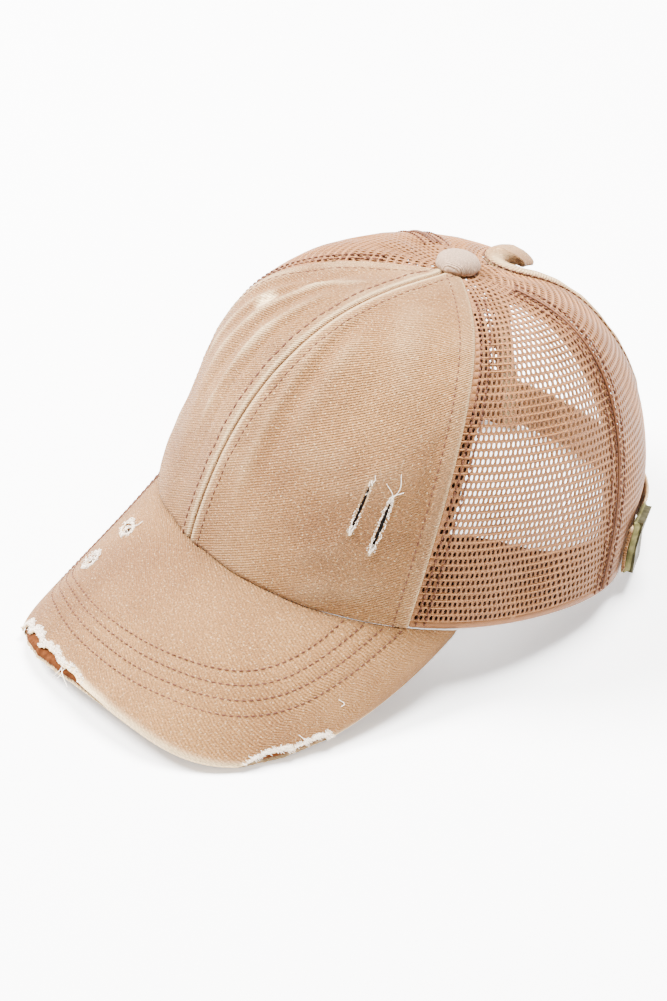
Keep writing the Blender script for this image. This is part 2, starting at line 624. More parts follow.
# ---- Net ribs -----------------------------------------------------------------------------------
# A thicker pale yarn runs along every row of holes. It is knitted in with the net, so each panel
# carries its own ribs.
def edge_lines(name, lines):
    """An object of loose edges, one chain for each line of points in metres."""
    points = np.concatenate(lines)
    edges, start = [], 0
    for line in lines:
        edges += [(start + k, start + k + 1) for k in range(len(line) - 1)]
        start += len(line)
    mesh = bpy.data.meshes.new(name)
    mesh.from_pydata(points.tolist(), edges, [])
    made = bpy.data.objects.new(name, mesh)
    bpy.context.scene.collection.objects.link(made)
    return made


thread_tree, entering, leaving = new_tree("thread_along_lines", {"Thread": 0.0003})
thread_tree.interface.new_socket("Finish", in_out="INPUT", socket_type="NodeSocketMaterial")
line = node_of(thread_tree, "GeometryNodeMeshToCurve", {"Mesh": entering.outputs["Geometry"]})
ring = node_of(thread_tree, "GeometryNodeCurvePrimitiveCircle",
    {"Resolution": 4, "Radius": entering.outputs["Thread"]})
spun = node_of(thread_tree, "GeometryNodeCurveToMesh", {"Curve": line.outputs["Curve"],
    "Profile Curve": ring.outputs["Curve"], "Fill Caps": True})
finish_tree(thread_tree, spun.outputs["Mesh"], leaving, entering.outputs["Finish"])


def spin(name, lines, radius, finish, slot):
    """Round thread along each line. Radius in millimetres."""
    piece = grown(edge_lines(name, lines), thread_tree, {"Thread": radius / 1000, "Finish": finish})
    return ridden(piece, slot)


rib_yarn = yarn_finish("pale_rib_yarn", (0.33, 0.137, 0.04), (0.60, 0.31, 0.12))


for net_name, (left, right) in net_edges.items():
    lines = []
    for rise in row_rises(left, right)[1:]:
        start, end = float(left(rise)), float(right(rise))
        span = math.radians(end - start) * float(radius_at((start + end) / 2, rise))
        if span > 3:
            angles = np.linspace(start, end, max(4, int(span / 2.2)))
            lines.append(placed(crown_at(angles, rise, 0.18 - net_wall * 0.5)))
    spin(net_name + "_ribs", lines, 0.25, rib_yarn, "mesh")


# ---- Sweatband ----------------------------------------------------------------------------------
# A folded band of plain cotton lines the rim, deep over the forehead and shallow at the back. It
# is sewn to the rim and leans in a little on its own.
band_front, band_back, band_lean, band_wall = 36.0, 22.5, 1.8, 1.6
band_step = (64.0, 98.0)
band_outside = -cloth_wall - 0.6
lining_cotton = washed_twill("band_cotton", (0.13, 0.04, 0.012), (0.20, 0.068, 0.024), (0.40, 0.20, 0.10),
    5.0)


def band_height(angle):
    share = np.clip((np.abs(angle) - band_step[0]) / (band_step[1] - band_step[0]), 0, 1)
    return band_front + (band_back - band_front) * share * share * (3 - 2 * share)


band_end = float(opening_angle(0.1)) - 3
level = np.concatenate([np.linspace(0, 0.9, 14), [0.93, 0.95, 0.965, 0.98, 0.99, 1.0]])[:, None]
angle = np.linspace(-band_end, band_end, 260)[None, :]
rise = rise_at_height(angle, band_height(angle) * level)
round_top = 0.55 * (1 - np.sqrt(np.clip(1 - (np.clip(level - 0.93, 0, 1) / 0.07) ** 2, 0, 1)))
ripple = 0.18 * np.sin(angle / 1.9) * np.sin(angle / 5.3 + 1) * np.clip(level * 3, 0, 1)
piping = 0.3 * np.exp(-(((level - 0.9) / 0.012) ** 2))
outer = crown_at(angle, rise, band_outside - band_lean * level - round_top - np.abs(ripple) - piping)
inner = crown_at(angle, rise, band_outside - band_lean * level - band_wall + round_top - ripple + piping)
band = walled("sweatband_cotton", outer, inner)
cloth_piece(band, lining_cotton, "sweatband_cloth", "sweatband")


# ---- Seam tapes ---------------------------------------------------------------------------------
# Woven cotton tape, 12 mm wide, covers each crown seam on the inside, from the sweatband nearly up
# to the button. It shows darker through the net.
tape_width, tape_wall, tape_end_radius = 12.0, 0.8, 18.0
tape_weave = washed_twill("seam_tape_cotton", (0.10, 0.028, 0.009), (0.16, 0.05, 0.017),
    (0.32, 0.15, 0.07), 6.0)
crown_seams = {
    "front": seam_front,
    "front_side_left": seam_front_side_left,
    "side_back_left": seam_side_back_left,
    "front_side_right": seam_front_side_right,
    "side_back_right": seam_side_back_right,
}
for seam_name, seam in crown_seams.items():
    start = float(rise_at_height(seam[0], float(band_height(seam[0])) + 1))
    end = rise_at_radius(seam[1], tape_end_radius)
    rise = start + (end - start) * (1 - (1 - np.linspace(0, 1, 70)[:, None]) ** 1.9)
    half = np.degrees(tape_width / 2 / radius_at(seam_angle(seam, rise), rise))
    side = np.linspace(-1, 1, 15)[None, :]
    edge = 0.3 * np.clip(np.abs(side) - 0.8, 0, 1) / 0.2
    weave = 0.06 * np.sin(rise * 160) * np.cos(side * 9)
    outer = crown_at(seam_angle(seam, rise) + side * half, rise, band_outside - edge + weave)
    inner = crown_at(seam_angle(seam, rise) + side * half, rise, band_outside - tape_wall + edge + weave)
    tape = walled(f"tape_{seam_name}", outer, inner)
    cloth_piece(tape, tape_weave, "tape", f"seam_tape_{seam_name}")


# ---- Opening binding ----------------------------------------------------------------------------
# A folded strip of the front's twill closes the edge of the ponytail opening, up one side, over
# the top and down the other. Under the button its far side is wider and its lip turns up.
binding_width, binding_proud = 7.0, 1.0


def loft(name, rings, worn=None):
    """A closed skin over a row of rings of points in metres, flat at both ends."""
    rings = np.asarray(rings, float)
    rows, columns = rings.shape[:2]
    index = np.arange(rows * columns).reshape(rows, columns)
    ring = np.concatenate([index, index[:, :1]], axis=1)
    sides = np.stack([ring[:-1, :-1], ring[:-1, 1:], ring[1:, 1:], ring[1:, :-1]], -1).reshape(-1, 4)
    faces = sides.tolist() + [index[0][::-1].tolist(), index[-1].tolist()]
    points = rings.reshape(-1, 3)
    if volume_of(points - points.mean(0), faces) < 0:
        faces = [face[::-1] for face in faces]
    round_it = np.cumsum(np.linalg.norm(np.roll(rings, -1, axis=1) - rings, axis=2), axis=1)
    middle = rings.mean(axis=1)
    along = np.concatenate([[0], np.cumsum(np.linalg.norm(np.diff(middle, axis=0), axis=1))])
    flat = np.stack([round_it, along[:, None] * np.ones((1, columns))], -1).reshape(-1, 2) * 100
    return object_of(name, points, faces, flat, worn)


climb = np.linspace(0, opening_top, 110)
edge_angles = np.concatenate([opening_angle(climb), -opening_angle(climb)[-2::-1]])
edge_rises = np.concatenate([climb, climb[-2::-1]])
edge_points = crown_at(edge_angles, edge_rises)
for _ in range(6):
    edge_points[1:-1] = (edge_points[:-2] + 2 * edge_points[1:-1] + edge_points[2:]) / 4
edge_tangents = unit(np.gradient(edge_points, axis=0))
edge_normals = crown_normal(edge_angles, edge_rises)
edge_into = unit(np.cross(edge_tangents, edge_normals))
travel = np.concatenate([[0], np.cumsum(np.linalg.norm(np.diff(edge_points, axis=0), axis=1))])
past_top = travel - travel[109]
lip = (1 / (1 + np.exp((6 - past_top) / 1.5)) / (1 + np.exp((past_top - 37) / 2.5)))[:, None]
turn = np.linspace(0, 2 * np.pi, 30, endpoint=False)[None, :]
across = 0.5 + 0.5 * signed_power(np.cos(turn), 0.55)
lift = signed_power(np.sin(turn), 0.6)
wobble = 0.12 * np.sin(travel / 3.1)[:, None] + 0.1 * np.sin(travel / 1.7 + 2)[:, None]
reach = 0.3 + (binding_width - 0.3 + 10.0 * lip) * across
height = -net_wall / 2 + (net_wall / 2 + binding_proud
    + wobble * (across > 0.2)) * lift + lip * (2.7 * np.sin(np.pi * across**0.75) - 0.2 * across**2)
rings = edge_points[:, None] + edge_into[:, None] * reach[..., None] + edge_normals[:, None] * height[...,
    None]
worn = 0.45 * np.exp(-(((across - 0.45) / 0.4) ** 2)) * (1 - 0.75 * lip)
binding = loft("opening_binding_cloth", placed(rings.reshape(-1, 3)).reshape(rings.shape), worn)
cloth_piece(binding, tan_twill, "washed_cloth", "opening_binding")


# ---- Peak ---------------------------------------------------------------------------------------
# A stiff board between two layers of the washed twill, which meet round its front edge. The board
# is rust brown and shows where the edge is torn, and two holes are worn in the top layer.
peak_reach, peak_yaw, peak_droop, peak_curl = 67.6, 6.0, 23.6, 7.9
peak_shift, peak_root, peak_tuck = 2.3, 0.4, 1.5
peak_bend_at, peak_bend_run = 80.0, 32.0
peak_cloth, board_wall, board_inset = 0.9, 1.4, 0.9
# Each side: half width, squareness of its outline, where its bend starts, depth of the bend
peak_left = (76.0, 3.3, 18.0, 14.0)
peak_right = (76.0, 4.6, 42.0, 20.0)
# Each torn edge: the outline's turn, how far it spreads, its depth
edge_tears = [(-27, 5, 5.0), (-18, 6, 6.4), (-9, 5, 5.4), (-3.5, 3, 3.2), (44, 5, 5.0), (52.5, 5, 5.2)]
# Each hole: across, forward, half length, half width
peak_holes = [(-54.5, 18.5, 3.4, 4.2), (-55.2, 36.8, 4.0, 3.3)]

rim_angles = np.linspace(-86, 86, 3000)
rim_points = plain_crown(rim_angles, 0.0)
yaw = math.radians(peak_yaw)
rim_across = rim_points[:, 0] * math.cos(yaw) + rim_points[:, 1] * math.sin(yaw)
rim_level = -rim_points[:, 0] * math.sin(yaw) + rim_points[:, 1] * math.cos(yaw)


def rim_front(across):
    return np.interp(across, rim_across, rim_level)


def peak_side(value, column):
    return np.where(value > 0, peak_left[column], peak_right[column])


def outline_across(turn, inset):
    power = 2 / peak_side(turn, 1)
    return peak_shift + (peak_side(turn, 0) - inset) * signed_power(np.sin(np.radians(turn)), power)


def slope_length(turn, inset):
    reach = crown_half_length + peak_reach - peak_root - inset
    forward = -peak_root - reach * np.abs(np.cos(np.radians(turn))) ** (2 / peak_side(turn, 1))
    return rim_front(outline_across(turn, inset)) - forward


def bare_peak(across, forward):
    share = forward / peak_reach
    bend = np.maximum(np.abs(across) - peak_side(across, 2), 0) / (peak_bend_at - peak_side(across, 2))
    start = 1 - np.exp(-np.maximum(forward, 0) / peak_bend_run)
    sag = peak_curl * share * np.abs(share) + peak_side(across, 3) * bend * bend * start
    droop = math.radians(peak_droop)
    return np.stack([across, rim_front(across) - math.cos(droop) * forward,
        -math.sin(droop) * forward - sag], -1)


def peak_normal(across, forward):
    ahead = bare_peak(across, forward + 0.5) - bare_peak(across, forward - 0.5)
    aside = bare_peak(across + 0.5, forward) - bare_peak(across - 0.5, forward)
    return -unit(np.cross(aside, ahead))


def peak_at(across, forward, offset):
    """A point of the peak, so far across and forward from the rim, lifted off the board's middle."""
    across, forward, offset = np.broadcast_arrays(*(np.asarray(v, float) for v in (across, forward, offset)))
    point = bare_peak(across, forward) + peak_normal(across, forward) * offset[..., None]
    seat = 0.3 + math.sin(math.radians(peak_droop)) * peak_tuck
    seat = seat + (board_wall / 2 + 0.3 + peak_cloth) * peak_normal(across, forward * 0)[..., 2]
    x, y, z = point[..., 0], point[..., 1], point[..., 2] - seat
    return np.stack([x * math.cos(yaw) - y * math.sin(yaw), x * math.sin(yaw) + y * math.cos(yaw), z], -1)


def peak_end(side, inset):
    low, high = 20.0, 89.0
    for _ in range(40):
        middle = (low + high) / 2
        low, high = (middle, high) if slope_length(np.float64(side * middle),
            inset) > peak_tuck else (low, middle)
    return side * low


def tear_depth(turn, ragged, seed):
    """How far back the cloth is torn from the edge, with an uneven torn line."""
    depth = np.zeros(np.shape(turn))
    for at, spread, deep in edge_tears:
        depth = np.maximum(depth, deep * np.exp(-(((turn - at) / spread) ** 4)))
    noise = sum(np.sin(turn * rate + seed * rate) for rate in (2.3, 4.1, 7.7, 13.0)) / 4
    return depth * (1 + ragged * noise)


def smooth_line(points, passes=4):
    """Rounds the corners of a line of points."""
    line = np.array(points, float)
    for _ in range(passes):
        cut = np.stack([line[:-1] * 0.75 + line[1:] * 0.25, line[:-1] * 0.25 + line[1:] * 0.75],
            1).reshape(-1, 2)
        line = np.concatenate([line[:1], cut, line[-1:]])
    return line


# Four sewn rows, as points across and forward, from the wearer's left to the right
peak_rows = [
    smooth_line([(49.5, 0.5), (49, 13), (44.5, 28), (33, 36.5), (8, 40.2), (-20, 42.8), (-48, 45.5),
    (-64, 47), (-69.5, 34), (-71, 0.5)]),
    smooth_line([(55.5, 0.5), (54, 17), (49, 33), (36, 42), (10, 45), (-20, 46.5), (-47, 48.5), (-65, 50),
    (-70.7, 36), (-72.2, 0.5)]),
    smooth_line([(61, 0.5), (59, 21), (53, 38), (40, 47.2), (12, 50), (-18, 51), (-44, 52.3), (-66, 53.3),
    (-71.7, 38), (-73.2, 0.5)]),
    smooth_line([(66, 0.5), (63.5, 25), (57.5, 43), (43, 53), (14, 55), (-16, 55.6), (-42, 56.6),
    (-66, 57), (-72.5, 40), (-74.2, 0.5)]),
]


def peak_layer(name, upper, torn_share, ragged, seed, relief_depth):
    """One cloth layer of the peak, rolled round the board's edge. upper is 1 above and -1 below."""
    face, back = upper * (board_wall / 2 + 0.3 + peak_cloth), upper * (board_wall / 2 + 0.3)
    turn = np.linspace(peak_end(-1, 0), peak_end(1, 0), 460)
    torn = tear_depth(turn, ragged, seed) * torn_share
    reach = slope_length(turn, 0) - torn
    whole = 1 - np.clip(torn / 0.8, 0, 1)
    margins = np.array([1.8, 1.5, 1.2, 0.9, 0.65, 0.42, 0.24, 0.1, 0.03, 0.0])[:, None]
    inside = np.linspace(0, 1, 62)[:-1, None]
    forward = np.concatenate([-peak_tuck + (reach - 1.8 + peak_tuck) * inside, reach - margins])
    across = outline_across(turn, 0) * np.ones((len(forward), 1))
    margin = reach - forward
    roll = 1.75 * (1 - np.sqrt(np.clip(1 - np.clip(1 - margin / 1.8, 0, 1) ** 2, 0, 1))) * whole
    relief = soft_folds(across, forward, seed, relief_depth)
    spots = np.stack([across, forward], -1)
    for row in peak_rows:
        gap = np.full(across.shape, 99.0)
        for a, b in zip(row[:-1], row[1:]):
            share = np.clip(((spots - a) @ (b - a)) / max(float((b - a) @ (b - a)), 1e-9), 0, 1)
            gap = np.minimum(gap, np.linalg.norm(spots - a - share[..., None] * (b - a), axis=-1))
        relief -= 0.22 * np.exp(-((gap / 0.9) ** 2))
    relief *= np.clip(margin / 2.5, 0, 1) * np.clip((forward + 1.5) / 3, 0, 1)
    outer = peak_at(across, forward, face + upper * (relief - roll))
    start = (forward + peak_tuck) / (reach + peak_tuck)
    inner = peak_at(across, -peak_tuck + (reach - 0.85 * whole + peak_tuck) * start, back)
    worn = 0.85 * np.exp(-((margin / 1.6) ** 2)) + 0.5 * np.exp(-((margin / 2.2) ** 4)) * np.clip(torn, 0, 1)
    if upper > 0:
        for place, out, long, wide in peak_holes:
            spread = np.hypot((across - place) / wide, (forward - out) / long)
            heading = np.arctan2(forward - out, across - place)
            rough = 0.95 + 0.14 * np.sin(heading * 3 + place) + 0.1 * np.sin(heading * 7 + out)
            worn += 0.55 * np.exp(-((spread / rough) ** 6))
    return walled(name, outer, inner, worn)


board_finish, tree, shader = blank_finish("rust_board", 0.95)
shader.inputs["Specular IOR Level"].default_value = 0.05
spot = node_of(tree, "ShaderNodeTexCoord").outputs["Object"]
fibre = node_of(tree, "ShaderNodeTexNoise", {"Vector": spot, "Scale": 420.0, "Detail": 4.0}).outputs["Fac"]
tree.links.new(stepped(tree, fibre, [(0.3, (0.045, 0.012, 0.003)), (0.7, (0.10, 0.03, 0.008))]),
    shader.inputs["Base Color"])
bump = node_of(tree, "ShaderNodeBump", {"Height": fibre, "Strength": 0.6, "Distance": 0.0002})
tree.links.new(bump.outputs["Normal"], shader.inputs["Normal"])
turn = np.linspace(peak_end(-1, board_inset), peak_end(1, board_inset), 240)[None, :]
reach = slope_length(turn, board_inset) - tear_depth(turn, 0.3, 2) * 0.2
across = outline_across(turn, board_inset)
forward = -peak_tuck + (reach + peak_tuck) * np.linspace(0, 1, 30)[:, None]
half = board_wall / 2 * np.clip(0.45 + (reach - forward) * 0.6, 0, 1)
board = walled("peak_board_rust", peak_at(across, forward, half), peak_at(across, forward, -half))
cloth_piece(board, board_finish, "board", "peak_board")

under = peak_layer("peak_under_cloth", -1, 0.25, 0.3, 5, 0.05)
cloth_piece(under, tan_twill, "washed_cloth", "peak_under")

top = peak_layer("peak_top_cloth", 1, 1.0, 0.14, 8, 0.16)
hole_cutters = []
for count, (place, out, long, wide) in enumerate(peak_holes):
    outward = peak_normal(np.float64(place), np.float64(out))
    outward = np.array([outward[0] * math.cos(yaw) - outward[1] * math.sin(yaw),
        outward[0] * math.sin(yaw) + outward[1] * math.cos(yaw), outward[2]])
    centre = peak_at(place, out, 2.95)
    along = unit(peak_at(place, out + 1, 0) - peak_at(place, out, 0))
    aside = unit(np.cross(along, outward))
    for side, ahead in ((-0.38, 0.3), (0.36, -0.3)):
        spot = centre + aside * wide * side + along * long * ahead
        hole_cutters.append(ragged_cutter(f"hole_{count}_{side}", spot, along, aside, np.cross(aside, along),
            long * 0.52, wide * 0.4, 2.0, 60 + count, 22))
cut_with(top, hole_cutters)
cloth_piece(top, tan_twill, "washed_cloth", "peak_top")


# ---- Button -------------------------------------------------------------------------------------
# A pressed metal dome covered in the same twill, its shank through the crown where the panels meet.
button_radius, button_height, shank_radius, shank_length = 8.8, 6.3, 2.2, 6.0
foot = crown_height + 0.3
profile = [(0.0, crown_height - shank_length), (shank_radius, crown_height - shank_length),
    (shank_radius, foot),
    (button_radius - 1.6, foot), (button_radius - 0.6, foot + 0.15)]
for share in np.linspace(0, 1, 16)[:-1]:
    lean = share * math.pi / 2
    profile.append((button_radius * math.cos(lean) ** 0.62,
        foot + 1.2 + (button_height - 1.2) * math.sin(lean) ** 0.95))
turn = np.linspace(0, 2 * np.pi, 56, endpoint=False)
rings = []
for radius, height in profile[1:]:
    pleat = 0.12 * np.sin(turn * 9 + 1) * np.clip((radius - 5) / 3, 0, 1)
    rings.append(np.stack([(radius + pleat) * np.cos(turn), top_setback + (radius + pleat) * np.sin(turn),
        height + 0 * turn], -1))
rings = np.array(rings)
button = loft("button_cloth", placed(rings.reshape(-1, 3)).reshape(rings.shape),
    0.25 * np.ones(rings.shape[:2]))
corner = np.empty(len(button.data.loops), int)
button.data.loops.foreach_get("vertex_index", corner)
button.data.uv_layers["cloth"].data.foreach_set("uv", (rings.reshape(-1, 3)[corner][:, :2] / 10).ravel())
pale_twill = washed_twill("button_twill", (0.36, 0.175, 0.085), (0.50, 0.275, 0.15), (0.80, 0.64, 0.48), 6.5)
cloth_piece(button, pale_twill, "washed_cloth", "button")


# ---- Strap and buckle ---------------------------------------------------------------------------
# A folded twill strap crosses the foot of the opening at the back. It is sewn on the wearer's
# right and runs through a sliding metal buckle on the left, whose brass cover snaps it fast.
strap_low, strap_high, strap_wall = 2.0, 22.0, 1.1
strap_from, strap_to, buckle_from, buckle_to = 213.0, 116.0, 119.0, 129.0
buckle_bar, plate_wall, plate_bulge = 0.6, 0.8, 0.4
strap_face, buckle_face = binding_proud + 0.6, 0.3
under_buckle = buckle_face + buckle_bar + 0.3


def strap_lies(share):
    climb = np.clip(share * 4, 0, 1)
    return under_buckle + (strap_face - under_buckle) * climb * climb * (3 - 2 * climb)


share = np.linspace(0, 1, 220)[None, :]
level = np.linspace(0, 1, 25)[:, None]
angle = strap_to + (strap_from - strap_to) * share
rise = rise_at_height(angle, strap_low + (strap_high - strap_low) * level)
lies = strap_lies(share)
edge = 0.4 * (1 - np.sqrt(np.clip(1 - np.clip(np.abs(level - 0.5) * 2 - 0.88, 0, 1) ** 2 / 0.0144, 0, 1)))
rib = (0.12 * np.exp(-(((np.abs(level - 0.5) - 0.44) / 0.03) ** 2))
    + 0.08 * np.sin(share * 61) * np.cos(level * 5))
strap = walled("strap_cloth", crown_at(angle, rise, lies + strap_wall - edge + rib),
    crown_at(angle, rise, lies + edge),
    0.6 * np.clip(np.abs(level - 0.5) * 2 - 0.85, 0, 1) / 0.15 * np.ones(share.shape))
cloth_piece(strap, tan_twill, "washed_cloth", "strap")


def worn_metal(name, deep, bright, roughness):
    """Plated metal, dulled in patches and bright where it is rubbed."""
    finish, tree, shader = blank_finish(name, roughness)
    shader.inputs["Metallic"].default_value = 0.75
    spot = node_of(tree, "ShaderNodeTexCoord").outputs["Object"]
    patch = node_of(tree, "ShaderNodeTexNoise",
        {"Vector": spot, "Scale": 260.0, "Detail": 5.0}).outputs["Fac"]
    tree.links.new(stepped(tree, patch, [(0.35, deep), (0.7, bright)]), shader.inputs["Base Color"])
    tree.links.new(stepped(tree, patch, [(0.3, (roughness + 0.2,) * 3), (0.7, (roughness - 0.12,) * 3)]),
        shader.inputs["Roughness"])
    bump = node_of(tree, "ShaderNodeBump", {"Height": patch, "Strength": 0.25, "Distance": 0.0001})
    tree.links.new(bump.outputs["Normal"], shader.inputs["Normal"])
    return finish


dark_steel = worn_metal("dark_steel", (0.03, 0.026, 0.011), (0.075, 0.065, 0.03), 0.55)
old_brass = worn_metal("old_brass", (0.075, 0.066, 0.022), (0.16, 0.14, 0.055), 0.6)
frame_piece = bpy.data.objects["buckle_frame"]
frame_piece.data.materials.clear()
frame_piece.data.materials.append(dark_steel)
channel = strap_wall + 0.6 + 0.1
face = buckle_face + 2 * buckle_bar + channel + 0.3
share = np.linspace(0, 1, 28)[None, :]
level = np.linspace(0, 1, 40)[:, None]
corner = (np.clip(1 - np.minimum(share, 1 - share) / 0.09, 0, 1) ** 2
    + np.clip(1 - np.minimum(level, 1 - level) / 0.06, 0, 1) ** 2)
angle = buckle_from - 1.4 + (buckle_to - buckle_from + 2.8) * share
height = strap_low - 1.2 + (strap_high - strap_low + 2.4) * level
lies = face + plate_bulge * np.sin(np.pi * level) - 1.9 * np.clip(corner, 0, 1)
rise = rise_at_height(angle, np.maximum(height, 0.3))
rounded = 0.1 * np.clip(corner, 0, 1)
groove = 0.25 * np.exp(-(((np.abs(level - 0.5) - 0.36) / 0.012) ** 2)) * (np.abs(share - 0.5) < 0.38)
plate = walled("buckle_cover_brass", crown_at(angle, rise, lies + plate_wall - rounded - groove),
    crown_at(angle, rise, lies + rounded * 0.6))
cloth_piece(plate, old_brass, "antique_brass", "buckle_cover")


# ---- Stitching ----------------------------------------------------------------------------------
# Rust brown thread in lockstitch: two rows beside the front seam, one inside each net edge, bead
# rows on the net's own seams, four rows round the peak, and rows along binding and strap.
def thread_finish(name, deep, light):
    finish, tree, shader = blank_finish(name, 0.7)
    spot = node_of(tree, "ShaderNodeTexCoord").outputs["Object"]
    ply = node_of(tree, "ShaderNodeTexWave", {"Vector": spot, "Scale": 900.0, "Distortion": 1.0},
        bands_direction="DIAGONAL").outputs["Fac"]
    tree.links.new(stepped(tree, ply, [(0.2, deep), (0.8, light)]), shader.inputs["Base Color"])
    return finish


rust_thread = thread_finish("rust_thread", (0.045, 0.013, 0.005), (0.11, 0.034, 0.012))
tan_thread = thread_finish("tan_thread", (0.34, 0.15, 0.07), (0.52, 0.28, 0.15))
raw_cotton = thread_finish("raw_cotton", (0.66, 0.54, 0.42), (0.88, 0.80, 0.69))

stitch_tree, entering, leaving = new_tree("stitch_row", {"Stitch": 0.0022, "Gap": 0.0008, "Thread": 0.0003})
stitch_tree.interface.new_socket("Finish", in_out="INPUT", socket_type="NodeSocketMaterial")
line = node_of(stitch_tree, "GeometryNodeMeshToCurve", {"Mesh": entering.outputs["Geometry"]})
pitch = node_of(stitch_tree, "ShaderNodeMath",
    {0: entering.outputs["Stitch"], 1: entering.outputs["Gap"]}, operation="ADD")
spaced = node_of(stitch_tree, "GeometryNodeResampleCurve",
    {"Curve": line.outputs["Curve"], "Length": pitch.outputs[0]}, mode="LENGTH")
half = node_of(stitch_tree, "ShaderNodeMath", {0: entering.outputs["Stitch"], 1: 0.5}, operation="MULTIPLY")
shape = node_of(stitch_tree, "ShaderNodeCombineXYZ",
    {"X": half.outputs[0], "Y": entering.outputs["Thread"], "Z": entering.outputs["Thread"]})
tangent = node_of(stitch_tree, "GeometryNodeInputTangent")
heading = node_of(stitch_tree, "FunctionNodeAlignRotationToVector",
    {"Vector": tangent.outputs["Tangent"]}, axis="X")
bead = node_of(stitch_tree, "GeometryNodeMeshUVSphere", {"Segments": 6, "Rings": 5, "Radius": 1.0})
sewn = node_of(stitch_tree, "GeometryNodeInstanceOnPoints",
    {"Points": spaced.outputs["Curve"], "Instance": bead.outputs["Mesh"],
    "Rotation": heading.outputs["Rotation"], "Scale": shape.outputs["Vector"]})
lean = node_of(stitch_tree, "FunctionNodeRandomValue",
    {"Min": (0, 0, -0.14), "Max": (0, 0, 0.14), "Seed": 7}, data_type="FLOAT_VECTOR")
leaning = node_of(stitch_tree, "GeometryNodeRotateInstances",
    {"Instances": sewn.outputs["Instances"], "Rotation": lean.outputs["Value"]})
finish_tree(stitch_tree, leaning.outputs["Instances"], leaving, entering.outputs["Finish"])


def sew(name, lines, stitch, gap, thread, finish, slot):
    """Rows of stitches along lines of points in metres. Stitch, gap and thread radius in millimetres."""
    values = {"Stitch": stitch / 1000, "Gap": gap / 1000, "Thread": thread / 1000, "Finish": finish}
    return ridden(grown(edge_lines(name, lines), stitch_tree, values), slot)


def row_beside(outer, distance, from_left):
    """A line up a panel's outer face, so many millimetres in from one of its edges."""
    steps = np.linalg.norm(np.diff(outer, axis=1), axis=2)
    along = np.concatenate([np.zeros((len(outer), 1)), np.cumsum(steps, axis=1)], axis=1)
    away = along if from_left else along[:, -1:] - along
    line = []
    for points, far in zip(outer, away):
        if far.max() > distance * 1.6:
            order = np.argsort(far)
            line.append([np.interp(distance, far[order], points[order, axis]) for axis in range(3)])
    return placed(np.array(line))


sew("front_seam_bold_row", [row_beside(right_face, 5.4, False)], 2.9, 0.8, 0.55, rust_thread, "washed_cloth")
sew("front_seam_fine_row", [row_beside(left_face, 5.6, True)], 2.3, 0.8, 0.32, rust_thread, "washed_cloth")
sew("front_edge_rows", [row_beside(left_face, 6.0, False), row_beside(right_face, 6.0, True)], 2.2, 0.9,
    0.3, rust_thread, "washed_cloth")


def crown_row(seam, side_distance, bottom=0.01, top=0.93, offset=0.1):
    rise = np.linspace(bottom, top, 130)
    angle = seam_angle(seam, rise)
    return placed(crown_at(angle + np.degrees(side_distance / np.maximum(radius_at(angle, rise), 4)),
        rise, offset))


net_rows = []
for seam in (seam_side_back_left, seam_side_back_right):
    net_rows += [crown_row(seam, distance) for distance in (-4.6, -1.5, 1.5, 4.6)]
net_rows += [crown_row(seam_front_side_left, distance) for distance in (2.6, 6.2)]
net_rows += [crown_row(seam_front_side_right, distance) for distance in (-2.6, -6.2)]
sew("net_seam_rows", net_rows, 1.9, 0.5, 0.42, rust_thread, "mesh")
spin("net_seam_folds", [crown_row(seam, 0, offset=0.25)
    for seam in (seam_side_back_left, seam_side_back_right)], 0.55, net_yarn, "mesh")

sew("peak_rows", [placed(peak_at(row[:, 0], row[:, 1], 1.9 - 0.1)) for row in peak_rows], 2.0, 0.7, 0.36,
    rust_thread, "washed_cloth")
binding_line = edge_points + edge_into * 0.15 + edge_normals * 0.3
inner_line = edge_points + edge_into * 1.3 + edge_normals * (-net_wall - binding_proud)
binding_lines = [placed(line) for line in (binding_line, inner_line)]
sew("binding_rows", [line[line[:, 2] > 0.002] for line in binding_lines], 2.6, 0.4, 0.34, rust_thread,
    "washed_cloth")
strap_rows = []
for level in (0.12, 0.88):
    share = np.linspace(0.0, 1, 150)
    angle = strap_to + (strap_from - strap_to) * share
    height = strap_low + (strap_high - strap_low) * level
    strap_rows.append(placed(crown_at(angle, rise_at_height(angle, height),
        strap_lies(share) + strap_wall + 0.05)))
sew("strap_rows", strap_rows, 2.3, 0.9, 0.24, rust_thread, "washed_cloth")
angle = np.linspace(-band_end + 1, band_end - 1, 400)
band_line = crown_at(angle, rise_at_height(angle, band_height(angle) * 0.9),
    band_outside - band_lean * 0.9 - band_wall - 0.05)
sew("sweatband_row", [placed(band_line)], 2.4, 0.9, 0.24, tan_thread, "sweatband_cloth")


# ---- Frayed edges -------------------------------------------------------------------------------
# Raw cotton ends stand out round the slits, the holes and the torn front edge, and a few longer
# threads hang loose or still cross the gaps.
chance = np.random.default_rng(314)


def curl(start, heading, side, up, length, bend, steps=5):
    """One loose thread from a start point, curling to a side as it goes. Cap frame, millimetres."""
    share = np.linspace(0, 1, steps)[:, None]
    path = start + heading * length * share + side * bend * np.sin(share * np.pi * 1.3) * length * 0.5
    return placed(path + up * (0.22 * length * share * (1 - share)))


